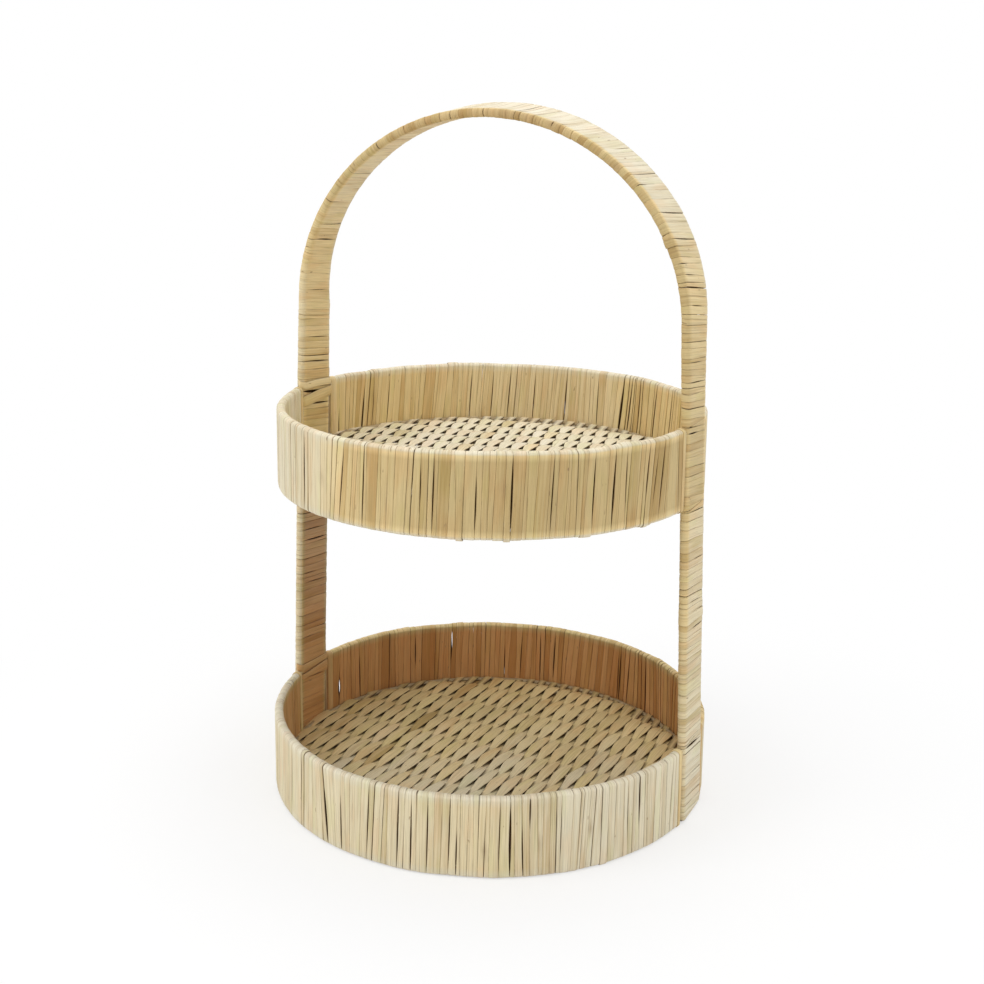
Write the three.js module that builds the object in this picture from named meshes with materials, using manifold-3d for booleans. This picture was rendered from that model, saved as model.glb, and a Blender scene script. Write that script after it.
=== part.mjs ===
// Two-tier tray: two round trays on an arched handle, built of steel rods that are wound with flat peel,
// each with a woven floor mat. Millimetres, +Z up. The legs stand at -X and +X, the front is -Y, and the
// origin is on the table, under the middle of the trays.
import * as THREE from "three";
import { mergeVertices } from "three/addons/utils/BufferGeometryUtils.js";
import Module from "manifold-3d";

const wasm = await Module();
wasm.setup();

// Driving dimensions: trays and handle
const trayRadius = 150; // of the lower tray
const upperTrayInset = 5.5; // the upper tray's radius is less by this much, and the legs lean in with it
const wallHeight = 54;
const upperTrayBase = 213; // table to the lower edge of the upper wall
const archStart = 332.5; // height at which the leaning legs turn into the arch
const archRise = 130; // from there to the arch's centre line at the top
const bandWidth = 37; // width of the legs and the handle, along Y

// Driving dimensions: rods, peel and clearances
const rodDiameter = 3;
const peelThickness = 0.9;
const stakeDiameter = 3;
const seatGap = 0.3; // between pieces that touch
const coreGap = 0.5; // between a rod and the peel that is wound round it
const seamGap = 0.5; // between a wall wrap's end and the leg beside it

// Driving dimensions: windings
const turnPitch = 18; // several strips of peel read as one ridge
const ridgeShare = 0.88; // part of the pitch over which a ridge slopes down to the next one
const ridgeDepth = 0.4;
const lashingLoops = 5;
const lashingSlant = 5; // extra rise of a loop across the leg's outer face
const lashingTurnGap = 1.2;

// Driving dimensions: floors
const matThickness = 7;
const lowerMatHeight = 7.5; // lower edge of the wall to the middle of the mat
const upperMatHeight = 11;
const matEdgeGap = 0.4;
const lowerStakeCount = 9;
const lowerStakeMargin = 12.5; // from the groove for the hoop to the outermost stake
const upperStakeCount = 12;
const upperStakeMargin = 22.25;
const lowerMatTurn = -2.7; // degrees about Z, because the mats aren't quite square to the handle
const upperMatTurn = 2;

// Facets
const rodSides = 6;
const stakeSides = 8;
const roundSteps = 40; // around a floor mat and its hoop
const handleSteps = 60; // along a handle rod, from foot to foot

// Sizes that follow
const rodRadius = rodDiameter / 2;
const stakeRadius = stakeDiameter / 2;
const bandThickness = rodDiameter + 2 * (coreGap + peelThickness);
const halfBand = bandThickness / 2;
const rodOffset = bandWidth / 2 - halfBand; // of the two handle rods, from the band's middle
const ringInset = halfBand; // of a wall's top and bottom rod, from the wall's edges

const trays = [
  {
    name: "lower",
    base: 0,
    radius: trayRadius,
    matHeight: lowerMatHeight,
    matTurn: lowerMatTurn,
    stakeCount: lowerStakeCount,
    stakeMargin: lowerStakeMargin,
    flatFoot: true,
  },
  {
    name: "upper",
    base: upperTrayBase,
    radius: trayRadius - upperTrayInset,
    matHeight: upperMatHeight,
    matTurn: upperMatTurn,
    stakeCount: upperStakeCount,
    stakeMargin: upperStakeMargin,
    flatFoot: false,
  },
];
const halves = [
  { name: "front", side: -1 },
  { name: "back", side: 1 },
];
const sides = [
  { name: "left", side: -1 },
  { name: "right", side: 1 },
];

// Materials, a new one for each mesh
function peelMaterial(colour) {
  return new THREE.MeshStandardMaterial({ color: colour, roughness: 0.7, metalness: 0 });
}

function steelMaterial() {
  return new THREE.MeshStandardMaterial({ color: "#5a5650", roughness: 0.55, metalness: 0.8 });
}

function addMesh(parent, name, geometry, material) {
  const mesh = new THREE.Mesh(geometry, material);
  mesh.name = name;
  parent.add(mesh);
  return mesh;
}

// The legs lean in a little, so that they pass both trays in line with their walls
const legLean = upperTrayInset / upperTrayBase;

function legX(z) {
  return trayRadius - halfBand - legLean * (z - wallHeight / 2);
}

// Centre line of the band from the left foot over the arch to the right foot, moved along Y by a set amount
class HandleLine extends THREE.Curve {
  constructor(y = 0) {
    super();
    this.y = y;
    this.arcLengthDivisions = 1200;
    this.foot = ringInset - rodRadius;
    this.span = legX(archStart);
    // The arch begins a little past its side, where it leans as the leg does
    this.begin = Math.atan((legLean * archRise) / this.span);
    this.halfSpan = this.span / Math.cos(this.begin);
    this.centre = archStart - archRise * Math.sin(this.begin);
  }

  getPoint(t, target = new THREE.Vector3()) {
    const side = t < 0.5 ? -1 : 1;
    const share = 3 * Math.min(t, 1 - t);
    if (share < 1) {
      const z = this.foot + share * (archStart - this.foot);
      return target.set(side * legX(z), this.y, z);
    }
    const angle = this.begin + (share - 1) * 2 * (Math.PI / 2 - this.begin);
    const x = side * this.halfSpan * Math.cos(angle);
    return target.set(x, this.y, this.centre + archRise * Math.sin(angle));
  }

  // Share of the whole length at which the left leg reaches a height
  shareAt(z) {
    return ((z - this.foot) * Math.hypot(1, legLean)) / this.getLength();
  }
}

// Part of a circle about the Z axis, on the front or the back half
class HalfRing extends THREE.Curve {
  constructor(radius, z, side, startAngle) {
    super();
    Object.assign(this, { radius, z, side, startAngle });
  }

  getPoint(t, target = new THREE.Vector3()) {
    const angle = this.side * (this.startAngle + t * (Math.PI - 2 * this.startAngle));
    return target.set(this.radius * Math.cos(angle), this.radius * Math.sin(angle), this.z);
  }
}

// A round rod along a curve
function rod(curve, steps) {
  const points = [];
  for (let i = 0; i < rodSides; i += 1) {
    const angle = (2 * Math.PI * (i + 0.5)) / rodSides;
    points.push(new THREE.Vector2(rodRadius * Math.cos(angle), rodRadius * Math.sin(angle)));
  }
  return new THREE.ExtrudeGeometry(new THREE.Shape(points), {
    steps,
    extrudePath: curve,
    bevelEnabled: false,
  });
}

function straightRod(from, to) {
  return rod(new THREE.LineCurve3(from, to), 1);
}

// Outline of a flat band's section, with its ends as half octagons: the first number of a point lies along
// the band's width, the second along its thickness. The ends can be drawn in by different amounts.
function bandSection(halfWidth, halfThickness, lowEndInset = 0, highEndInset = 0) {
  const cut = (2 - Math.SQRT2) * halfThickness;
  const high = halfWidth - highEndInset;
  const low = -halfWidth + lowEndInset;
  return [
    [high, cut - halfThickness],
    [high, halfThickness - cut],
    [high - cut, halfThickness],
    [low + cut, halfThickness],
    [low, halfThickness - cut],
    [low, cut - halfThickness],
    [low + cut, -halfThickness],
    [high - cut, -halfThickness],
  ];
}

function placeRing(section, frame) {
  return section.map(([along, across]) =>
    frame.origin.clone().addScaledVector(frame.wide, along).addScaledVector(frame.thick, across),
  );
}

// A closed body through rings of equal point counts: rings that close on themselves make a tube with a bore,
// others get a flat face at each end
function loft(rings, closes) {
  const count = rings[0].length;
  const corners = rings.flat();
  const faces = [];
  const pairs = closes ? rings.length : rings.length - 1;
  for (let r = 0; r < pairs; r += 1) {
    const here = r * count;
    const next = ((r + 1) % rings.length) * count;
    for (let i = 0; i < count; i += 1) {
      const j = (i + 1) % count;
      faces.push([here + i, here + j, next + j], [here + i, next + j, next + i]);
    }
  }
  if (!closes) {
    const last = (rings.length - 1) * count;
    for (let i = 1; i < count - 1; i += 1) {
      faces.push([0, i + 1, i], [last, last + i, last + i + 1]);
    }
  }
  return outwardGeometry(corners, faces);
}

function outwardGeometry(corners, faces) {
  const cross = new THREE.Vector3();
  let volume = 0;
  for (const [a, b, c] of faces) {
    volume += corners[a].dot(cross.crossVectors(corners[b], corners[c]));
  }
  const turned = volume < 0 ? faces.map(([a, b, c]) => [a, c, b]) : faces;
  const geometry = new THREE.BufferGeometry().setFromPoints(corners);
  geometry.setIndex(turned.flat());
  geometry.computeVertexNormals();
  return geometry;
}

// A wrap of wound peel, as a sleeve with a bore for its rods: each ridge slopes down until the next turn laps
// over it. frameAt takes a share of the length from 0 to 1. A flat foot keeps the low edge free of ridges.
function woundSleeve(frameAt, length, width, flatFoot) {
  const turns = Math.max(1, Math.round(length / turnPitch));
  const crest = bandSection(width / 2, halfBand);
  const valley = bandSection(
    width / 2,
    halfBand - ridgeDepth,
    flatFoot ? 0 : ridgeDepth,
    ridgeDepth,
  );
  const bore = bandSection(width / 2 - peelThickness, halfBand - peelThickness);
  const outside = [];
  const inside = [];
  for (let i = 0; i < turns; i += 1) {
    outside.push(placeRing(crest, frameAt(i / turns)));
    outside.push(placeRing(valley, frameAt((i + ridgeShare) / turns)));
    inside.push(placeRing(bore, frameAt(i / turns)));
  }
  outside.push(placeRing(crest, frameAt(1)));
  inside.push(placeRing(bore, frameAt(1)));
  return loft([...outside, ...inside.reverse()], true);
}

// Frame of the handle's band at a share of its length: wide along Y, thick outwards
const handleLine = new HandleLine();

function handleFrame(share) {
  const origin = handleLine.getPointAt(share);
  const tangent = handleLine.getTangentAt(share);
  const thick = new THREE.Vector3(-tangent.z, 0, tangent.x).normalize();
  return { origin, wide: new THREE.Vector3(0, 1, 0), thick };
}

function handleSleeve(fromShare, toShare) {
  const frameAt = (share) => handleFrame(fromShare + share * (toShare - fromShare));
  const length = (toShare - fromShare) * handleLine.getLength();
  return woundSleeve(frameAt, length, bandWidth, false);
}

// Half of a tray's wall wrap, between the legs
function wallSleeve(tray, side) {
  const middle = tray.radius - halfBand;
  const startAngle = Math.asin((bandWidth / 2 + seamGap) / (tray.radius - bandThickness));
  const line = new HalfRing(middle, wallHeight / 2, side, startAngle);
  const frameAt = (share) => {
    const origin = line.getPoint(share);
    const thick = new THREE.Vector3(origin.x, origin.y, 0).normalize();
    return { origin, wide: new THREE.Vector3(0, 0, 1), thick };
  };
  return woundSleeve(frameAt, middle * (Math.PI - 2 * startAngle), wallHeight, tray.flatFoot);
}

// A ring rod's half, which butts against the two handle rods
function ringHalf(tray, z, side) {
  const middle = tray.radius - halfBand;
  const reach = rodOffset + rodRadius + 2 * seatGap;
  const startAngle = Math.asin(reach / middle);
  const length = middle * (Math.PI - 2 * startAngle);
  return rod(new HalfRing(middle, z, side, startAngle), Math.round(length / turnPitch));
}

// Heights of a joint between a leg and a tray, above the tray's base
const ringHeights = [
  { name: "bottom", z: ringInset },
  { name: "top", z: wallHeight - ringInset },
];
const lashingLow = ringInset + rodRadius + seatGap;
const lashingHigh = wallHeight - lashingLow;

// Around the band's section, one point of a lashing's loop after another: the place along Y, the turn about
// the band's edge in degrees, and the share of the slant that is reached there
function loopPoints() {
  const edge = bandWidth / 2 - halfBand;
  const points = [];
  for (const angle of [0, 45, 90, 135, 180]) {
    points.push({ y: edge, angle, slant: 0.5 });
  }
  for (const angle of [180, 225, 270, 315, 360]) {
    points.push({ y: -edge, angle, slant: -0.5 });
  }
  return points;
}

// One unbroken strip that is wound round a leg between a tray's two rings
function lashing(tray, side) {
  const middleThickness = halfBand - peelThickness / 2;
  const pitch =
    (lashingHigh - lashingLow - lashingSlant + lashingTurnGap) / (lashingLoops + 0.5);
  const stripWidth = pitch - lashingTurnGap;
  const start = tray.base + lashingLow + (lashingSlant + stripWidth) / 2;
  const loop = loopPoints();
  const path = [];
  for (let n = 0; n < lashingLoops; n += 1) {
    loop.forEach(({ y, angle, slant }, i) => {
      const turn = THREE.MathUtils.degToRad(angle);
      const z = start + pitch * (n + i / loop.length) + lashingSlant * slant;
      const normal = new THREE.Vector3(side * Math.cos(turn), Math.sin(turn), 0);
      const point = new THREE.Vector3(side * legX(z), y, z);
      path.push({ point: point.addScaledVector(normal, middleThickness), normal });
    });
  }
  const low = [];
  const high = [];
  const rings = path.map(({ point, normal }, i) => {
    const before = path[Math.max(i - 1, 0)].point;
    const after = path[Math.min(i + 1, path.length - 1)].point;
    const tangent = after.clone().sub(before).normalize();
    const across = new THREE.Vector3().crossVectors(normal, tangent).normalize();
    if (across.z < 0) across.negate();
    const frame = { origin: point, wide: across, thick: normal };
    low.push(point.clone().addScaledVector(across, -stripWidth / 2));
    high.push(point.clone().addScaledVector(across, stripWidth / 2));
    const w = stripWidth / 2;
    const t = peelThickness / 2;
    return placeRing([[-w, -t], [w, -t], [w, t], [-w, t]], frame);
  });
  return { geometry: loft(rings, false), gap: leastGap(high, low, loop.length) };
}

// Least gap between a turn's high edge and the low edges of the turns above it, measured on points
function leastGap(high, low, pointsPerLoop) {
  const fine = (edge) =>
    edge.slice(1).flatMap((point, i) =>
      [0, 0.25, 0.5, 0.75].map((share) => edge[i].clone().lerp(point, share)),
    );
  const upper = fine(low);
  const apart = 2 * pointsPerLoop;
  let least = Infinity;
  fine(high).forEach((point, i) => {
    for (let j = i + apart; j < upper.length; j += 1) {
      least = Math.min(least, point.distanceTo(upper[j]));
    }
  });
  return least;
}

// Floors
function toSolid(geometry) {
  const plain = geometry.clone();
  plain.deleteAttribute("normal");
  plain.deleteAttribute("uv");
  const merged = mergeVertices(plain, 1e-4);
  return new wasm.Manifold(
    new wasm.Mesh({
      numProp: 3,
      vertProperties: new Float32Array(merged.attributes.position.array),
      triVerts: new Uint32Array(merged.index.array),
    }),
  );
}

function toGeometry(solid) {
  const mesh = solid.getMesh();
  const geometry = new THREE.BufferGeometry();
  geometry.setAttribute("position", new THREE.BufferAttribute(mesh.vertProperties, 3));
  geometry.setIndex(new THREE.BufferAttribute(mesh.triVerts, 1));
  geometry.computeVertexNormals();
  return geometry;
}

// A straight stick along X, whose flats face up and down
function stick(radius, length, y) {
  const geometry = new THREE.CylinderGeometry(radius, radius, length, stakeSides);
  geometry.rotateY(Math.PI / stakeSides);
  geometry.rotateZ(Math.PI / 2);
  geometry.translate(0, y, 0);
  return geometry;
}

function floorSizes(tray) {
  const matRadius = tray.radius - bandThickness - matEdgeGap;
  const hoopRadius = matRadius - rodRadius;
  const grooveRadius = hoopRadius - rodRadius - seatGap;
  const outermost = grooveRadius - tray.stakeMargin;
  const stakes = [];
  for (let i = 0; i < tray.stakeCount; i += 1) {
    const y = outermost * ((2 * i) / (tray.stakeCount - 1) - 1);
    const reach = Math.abs(y) + stakeRadius + seatGap;
    stakes.push({ y, length: 2 * (Math.sqrt(grooveRadius ** 2 - reach ** 2) - seatGap) });
  }
  return { matRadius, hoopRadius, grooveRadius, stakes };
}

// The mat as a plain disc, with a groove round its edge for the hoop and a bore for each stake
function floorMat({ matRadius, grooveRadius, stakes }) {
  const half = matThickness / 2;
  const grooveHalf = rodRadius + seatGap;
  const profile = [
    [0, -half],
    [matRadius, -half],
    [matRadius, -grooveHalf],
    [grooveRadius, -grooveHalf],
    [grooveRadius, grooveHalf],
    [matRadius, grooveHalf],
    [matRadius, half],
    [0, half],
  ].map(([r, z]) => new THREE.Vector2(r, z));
  const disc = new THREE.LatheGeometry(profile, roundSteps).rotateX(Math.PI / 2);
  let solid = toSolid(disc);
  for (const { y } of stakes) {
    solid = solid.subtract(toSolid(stick(stakeRadius + seatGap, 2 * matRadius, y)));
  }
  return toGeometry(solid);
}

function addFloor(group, tray) {
  const floor = new THREE.Group();
  const sizes = floorSizes(tray);
  floor.position.z = tray.matHeight;
  floor.rotation.z = THREE.MathUtils.degToRad(tray.matTurn);
  addMesh(floor, `${tray.name}_floor_mat`, floorMat(sizes), peelMaterial("#c9b383"));
  const hoop = new THREE.TorusGeometry(sizes.hoopRadius, rodRadius, rodSides, roundSteps);
  addMesh(floor, `${tray.name}_floor_hoop`, hoop, steelMaterial());
  sizes.stakes.forEach(({ y, length }, i) => {
    const name = `${tray.name}_floor_stake_${i + 1}`;
    addMesh(floor, name, stick(stakeRadius, length, y), peelMaterial("#cdbb8e"));
  });
  group.add(floor);
}

// One tray: floor, ring rods, posts and wall wraps
function makeTray(tray) {
  const group = new THREE.Group();
  group.position.z = tray.base;
  addFloor(group, tray);
  const postReach = rodRadius + seatGap;
  for (const half of halves) {
    for (const ring of ringHeights) {
      const name = `${tray.name}_${ring.name}_ring_${half.name}`;
      addMesh(group, name, ringHalf(tray, ring.z, half.side), steelMaterial());
    }
    const y = half.side * (tray.radius - halfBand);
    const post = straightRod(
      new THREE.Vector3(0, y, ringInset + postReach),
      new THREE.Vector3(0, y, wallHeight - ringInset - postReach),
    );
    addMesh(group, `${tray.name}_post_${half.name}`, post, steelMaterial());
    const wrap = wallSleeve(tray, half.side);
    addMesh(group, `${tray.name}_wall_wrap_${half.name}`, wrap, peelMaterial("#d8c79c"));
  }
  return group;
}

// The joints of a tray with the legs: a rung between the handle rods at each ring, and a lashing
function addJoints(group, tray) {
  for (const { name, side } of sides) {
    for (const ring of ringHeights) {
      const z = tray.base + ring.z;
      const reach = rodOffset - rodRadius - seatGap;
      const rung = straightRod(
        new THREE.Vector3(side * legX(z), -reach, z),
        new THREE.Vector3(side * legX(z), reach, z),
      );
      addMesh(group, `${tray.name}_${name}_${ring.name}_rung`, rung, steelMaterial());
    }
    const strip = lashing(tray, side);
    const label = `${tray.name}_${name}_lashing`;
    console.log(`${label}: least gap between its turns ${strip.gap.toFixed(2)} mm`);
    addMesh(group, label, strip.geometry, peelMaterial("#d3c093"));
  }
}

// The handle: two rods from foot to foot, and the wraps between the trays and over the arch
function makeHandle() {
  const group = new THREE.Group();
  for (const half of halves) {
    const line = new HandleLine(half.side * rodOffset);
    addMesh(group, `handle_rod_${half.name}`, rod(line, handleSteps), steelMaterial());
  }
  const jointFree = wallHeight - ringInset + rodRadius + seatGap;
  const aboveLower = handleLine.shareAt(jointFree);
  const belowUpper = handleLine.shareAt(upperTrayBase + wallHeight - jointFree);
  const aboveUpper = handleLine.shareAt(upperTrayBase + jointFree);
  const colour = "#d6c498";
  addMesh(group, "left_leg_wrap", handleSleeve(aboveLower, belowUpper), peelMaterial(colour));
  addMesh(group, "right_leg_wrap", handleSleeve(1 - belowUpper, 1 - aboveLower), peelMaterial(colour));
  addMesh(group, "handle_wrap", handleSleeve(aboveUpper, 1 - aboveUpper), peelMaterial(colour));
  return group;
}

const tieredTray = new THREE.Group();
for (const tray of trays) {
  tieredTray.add(makeTray(tray));
  addJoints(tieredTray, tray);
}
tieredTray.add(makeHandle());

export default tieredTray;
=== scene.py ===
"""The looks of a two-tier tray: wound and woven peel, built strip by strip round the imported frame."""
import math

import bpy
import numpy as np
from mathutils import Matrix, Vector


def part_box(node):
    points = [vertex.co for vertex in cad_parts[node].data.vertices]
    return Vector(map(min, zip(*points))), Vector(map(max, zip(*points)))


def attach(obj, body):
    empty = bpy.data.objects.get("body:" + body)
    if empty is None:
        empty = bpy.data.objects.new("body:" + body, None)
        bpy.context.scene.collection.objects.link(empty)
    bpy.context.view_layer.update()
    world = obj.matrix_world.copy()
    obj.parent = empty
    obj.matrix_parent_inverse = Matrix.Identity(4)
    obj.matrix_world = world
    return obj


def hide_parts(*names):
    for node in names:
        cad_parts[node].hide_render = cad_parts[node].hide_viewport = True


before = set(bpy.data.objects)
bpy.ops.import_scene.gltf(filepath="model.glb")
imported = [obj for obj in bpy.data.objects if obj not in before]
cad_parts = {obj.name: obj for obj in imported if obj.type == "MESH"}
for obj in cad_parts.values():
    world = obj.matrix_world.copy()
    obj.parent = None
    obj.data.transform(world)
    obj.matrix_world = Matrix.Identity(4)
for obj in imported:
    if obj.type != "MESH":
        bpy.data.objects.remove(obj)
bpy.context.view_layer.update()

MM = 0.001

# Sizes from the frame
wall_low, wall_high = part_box("lower_wall_wrap_front")
upper_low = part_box("upper_wall_wrap_front")[0]
band_low, band_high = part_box("handle_wrap")
tray_radius = -wall_low.y
upper_radius = -upper_low.y
wall_height = wall_high.z - wall_low.z
upper_base = upper_low.z
band_width = band_high.y - band_low.y

# Sizes that the frame's boxes don't show
band_thickness = 5.8 * MM
half_band = band_thickness / 2
band_edge = 2.3 * MM  # how far a band's rounded edges reach in from its sides
seam_gap = 0.5 * MM  # between a wall's end and the leg beside it
arch_start = 332.5 * MM
arch_rise = 130 * MM
foot_height = 0.3 * MM
leg_lean = (tray_radius - upper_radius) / upper_base

# The camera, fitted to the photograph, which is 984 pixels wide and high
photo_side = 984
focal_pixels = 1447.48
sensor_width = 36
azimuth = math.radians(24.613)
elevation = math.radians(11.589)
roll_angle = math.radians(0.657)
distance = 0.9756
target_height = 0.27307
target_side = -0.000186
middle_row = 392  # pixel row that the lens axis meets


def linked(name, data):
    """A new object in the scene"""
    piece = bpy.data.objects.new(name, data)
    bpy.context.scene.collection.objects.link(piece)
    return piece


def add_camera():
    flat = math.cos(elevation)
    back = Vector((math.sin(azimuth) * flat, -math.cos(azimuth) * flat, math.sin(elevation)))
    level = Vector((math.cos(azimuth), math.sin(azimuth), 0))
    plumb = back.cross(level)
    right = math.cos(roll_angle) * level + math.sin(roll_angle) * plumb
    up = math.cos(roll_angle) * plumb - math.sin(roll_angle) * level
    place = level * target_side + Vector((0, 0, target_height)) + back * distance
    camera = linked("camera", bpy.data.cameras.new("camera"))
    turned = Matrix((right, up, back)).transposed().to_4x4()
    camera.matrix_world = Matrix.Translation(place) @ turned
    camera.data.sensor_width = sensor_width
    camera.data.lens = focal_pixels / photo_side * sensor_width
    camera.data.shift_y = (middle_row - photo_side / 2) / photo_side
    camera.data.clip_start = 0.01
    camera.data.clip_end = 50
    bpy.context.scene.camera = camera


add_camera()


# Smooth lines of values
class Wander:
    """A smooth random line of values about zero, with one free value for each step of its argument"""

    before = 3  # free values that lie before the argument's zero
    spare = 8  # free values more than the count

    def __init__(self, rng, count, spread):
        self.values = rng.normal(0, spread, max(int(count), 1) + self.spare)
        self.last = len(self.values) - 2.001  # just short of the last step's end

    def __call__(self, place):
        at = np.clip(np.asarray(place, float) + self.before, 0, self.last)
        low = np.floor(at).astype(int)
        share = at - low
        share = share * share * (3 - 2 * share)
        return self.values[low] * (1 - share) + self.values[low + 1] * share


def ramp(place, pairs):
    """A value between the pairs of place and value, places in millimetres"""
    places, values = zip(*pairs)
    return np.interp(np.asarray(place) / MM, places, values)


def rounded(away, radius):
    """How far a round corner of this radius draws in, at a distance from its end"""
    left = radius - np.clip(away, 0, radius)
    return radius - np.sqrt(radius**2 - left**2)


# Where a band's section lies
def lean_x(z):
    """The x of a leg's centre line at a height"""
    return tray_radius - half_band - leg_lean * (z - wall_height / 2)


class Handle:
    """The band from the left foot over the arch to the right foot: along its length, wide along Y"""

    width = band_width - 0.4 * MM
    end_round = 2.6 * MM
    corner_round = 5 * MM
    roll = [(280, 0), (400, 0.065), (700, 0.065), (810, 0)]  # millimetres along, and slope of the face
    leg_points = 400
    arch_points = 600

    def __init__(self):
        heights = np.linspace(foot_height, arch_start, self.leg_points)
        span = lean_x(arch_start)
        begin = math.atan(leg_lean * arch_rise / span)
        centre = arch_start - arch_rise * math.sin(begin)
        angles = np.linspace(begin, math.pi / 2, self.arch_points)[1:]
        x = np.concatenate([lean_x(heights), span / math.cos(begin) * np.cos(angles)])
        z = np.concatenate([heights, centre + arch_rise * np.sin(angles)])
        self.x = np.concatenate([-x, x[-2::-1]])
        self.z = np.concatenate([z, z[-2::-1]])
        steps = np.hypot(np.diff(self.x), np.diff(self.z))
        self.at = np.concatenate([[0], np.cumsum(steps)])
        self.length = self.at[-1]
        self.dx = np.gradient(self.x, self.at)
        self.dz = np.gradient(self.z, self.at)

    def height_at(self, z):
        """How far along the left leg reaches a height"""
        half = len(self.at) // 2
        return float(np.interp(z, self.z[:half], self.at[:half]))

    def place(self, along, wide, thick):
        x, z, dx, dz = (np.interp(along, self.at, line) for line in (self.x, self.z, self.dx, self.dz))
        thick = thick + wide * ramp(along, self.roll)
        return np.stack([x - thick * dz, wide, z + thick * dx], -1)


class Wall:
    """A tray's wall from the right leg to the left one, on the front or the back: wide along Z.

    Drawn says how far its circle is drawn in, as pairs of place along and depth in millimetres."""

    width = wall_height - 0.5 * MM
    end_round = 1.2 * MM
    corner_round = 3.5 * MM
    sway_step = 28 * MM
    sway_size = 0.35 * MM  # in and out
    dip_size = 0.3 * MM  # of the rim, up and down
    still_end = 20 * MM  # over which both die out towards an end

    def __init__(self, radius, base, side, seed, drawn):
        rng = np.random.default_rng(seed)
        self.middle = radius - half_band
        self.base, self.side, self.drawn = base, side, drawn
        self.start = math.asin((band_width / 2 + seam_gap) / (radius - band_thickness))
        self.length = self.middle * (math.pi - 2 * self.start)
        self.sway = Wander(rng, self.length / self.sway_step, self.sway_size)
        self.dip = Wander(rng, self.length / self.sway_step, self.dip_size)

    def place(self, along, wide, thick):
        angle = self.side * (self.start + along / self.middle)
        near_end = np.clip(np.minimum(along, self.length - along) / self.still_end, 0, 1)
        reach = self.middle + thick + self.sway(along / self.sway_step) * near_end
        reach = reach - ramp(along, self.drawn) * MM
        share = 0.5 + wide / self.width
        height = self.base + wall_height / 2 + wide + self.dip(along / self.sway_step) * near_end * share
        return np.stack([reach * np.cos(angle), reach * np.sin(angle), height], -1)


# A strip's section: nine points at offsets from its two edges, the last two beneath it
SIDE = np.array([0, 0, 0, 0.5, 1, 1, 1, 1, 0])
SLOPE = 2 * SIDE - 1  # from the low edge to the high one
INSET = np.array([0, 0.12, 0.5, 0, -0.5, -0.12, 0, -0.1, 0.1]) * MM
DROP = np.array([-0.13, -0.03, 0, 0, 0, -0.03, -0.13, -0.80, -0.80]) * MM
CROWN = np.array([0, 0.10, 0.45, 1, 0.45, 0.10, 0, 0, 0])
# Painted shade at each section point: some at a strip's edges and full beneath it, where shade falls between
# and under strips
PAINTED_SHADE = np.array([0.32, 0.08, 0, 0, 0, 0.08, 0.32, 1, 1])
LOW_EDGE = np.array([1, 0.4, 0, 0, 0, 0, 0, 0, 0])
HIGH_EDGE = LOW_EDGE[[6, 5, 4, 3, 2, 1, 0, 7, 8]]
# The grain's key sets one piece's grain apart from the next one's, by a step for each seed or weaver
winding_key = 0.37
loose_key = 0.53
weaver_key = 0.731
crown_height = 0.04 * MM
crown_share = 0.007  # of a strip's width, added to the crown
inset_limit = 0.2  # of a strip's width
open_drop = 0.25 * MM  # how far an edge beside an open gap sinks
# Painted shade added at an edge beside an open gap
open_painted_shade = 0.45
full_gap = 0.22 * MM  # half of a gap that counts as fully open
closed_corner = 0.4  # of a corner's rounding, on a closed strip
PARTS = (0, 1, 2, 3, 4)


def across_strip(low, high):
    """Places of a strip's nine section points between its edges"""
    wide = high - low
    inset = np.clip(INSET[None, :], -inset_limit * wide[:, None], inset_limit * wide[:, None])
    return low[:, None] + SIDE[None, :] * wide[:, None] + inset


def section(part, half_wide, lift):
    """Places round a flat band's section.

    Part runs from 0 to 4: outer face, high edge, inner face, low edge."""
    angle = math.pi / 2 - math.pi * np.interp(part, PARTS, (0, 0, 1, 1, 2))
    centre = np.interp(part, PARTS, (-1, 1, 1, -1, -1))
    wide = centre * (half_wide - band_edge) + (band_edge + lift) * np.cos(angle)
    thick = (half_band + lift) * np.sin(angle)
    return wide, thick


def band_points(band, part, along, lift, closed=False):
    """Points at places along a band and round its section, drawn in round the band's ends.

    A closed strip's edge at the band's end is drawn in all the way."""
    away = np.minimum(along, band.length - along)
    wide, thick = section(part, band.width / 2, lift)
    corner = rounded(away, band.corner_round) * (closed_corner if closed else 1)
    wide = wide - np.sign(wide) * np.minimum(corner, np.abs(wide))
    drawn_in = rounded(away, band.end_round) / (band.end_round if closed else half_band)
    return band.place(along, wide, thick * (1 - drawn_in))


def tube_mesh(rings, attributes):
    """A closed body through rings of points, with attributes of one value or vector for each point"""
    count, size = rings.shape[:2]
    index = np.arange(count * size).reshape(count, size)
    here, after = index[:-1], np.roll(index[:-1], -1, axis=1)
    up, up_after = index[1:], np.roll(index[1:], -1, axis=1)
    quads = np.stack([here, after, up_after, up], -1).reshape(-1, 4)
    faces = quads.tolist() + [index[0][::-1].tolist(), index[-1].tolist()]
    return rings.reshape(-1, 3), faces, {k: v.reshape(count * size, -1) for k, v in attributes.items()}


def join_meshes(name, parts):
    """One object from several bodies, each given as points, faces and attributes"""
    points = np.concatenate([p[0] for p in parts])
    points[:, 2] = np.maximum(points[:, 2], 0)  # nothing reaches under the table
    faces = []
    start = 0
    for body, own, _ in parts:
        faces.extend([[i + start for i in face] for face in own])
        start += len(body)
    mesh = bpy.data.meshes.new(name)
    mesh.from_pydata(points.tolist(), [], faces)
    for key, value in parts[0][2].items():
        kind, field = ("FLOAT_VECTOR", "vector") if value.shape[1] == 3 else ("FLOAT", "value")
        joined = np.concatenate([p[2][key] for p in parts]).astype(np.float32).ravel()
        mesh.attributes.new(key, kind, "POINT").data.foreach_set(field, joined)
    mesh.polygons.foreach_set("use_smooth", np.ones(len(mesh.polygons), bool))
    mesh.update()
    return linked(name, mesh)


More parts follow.
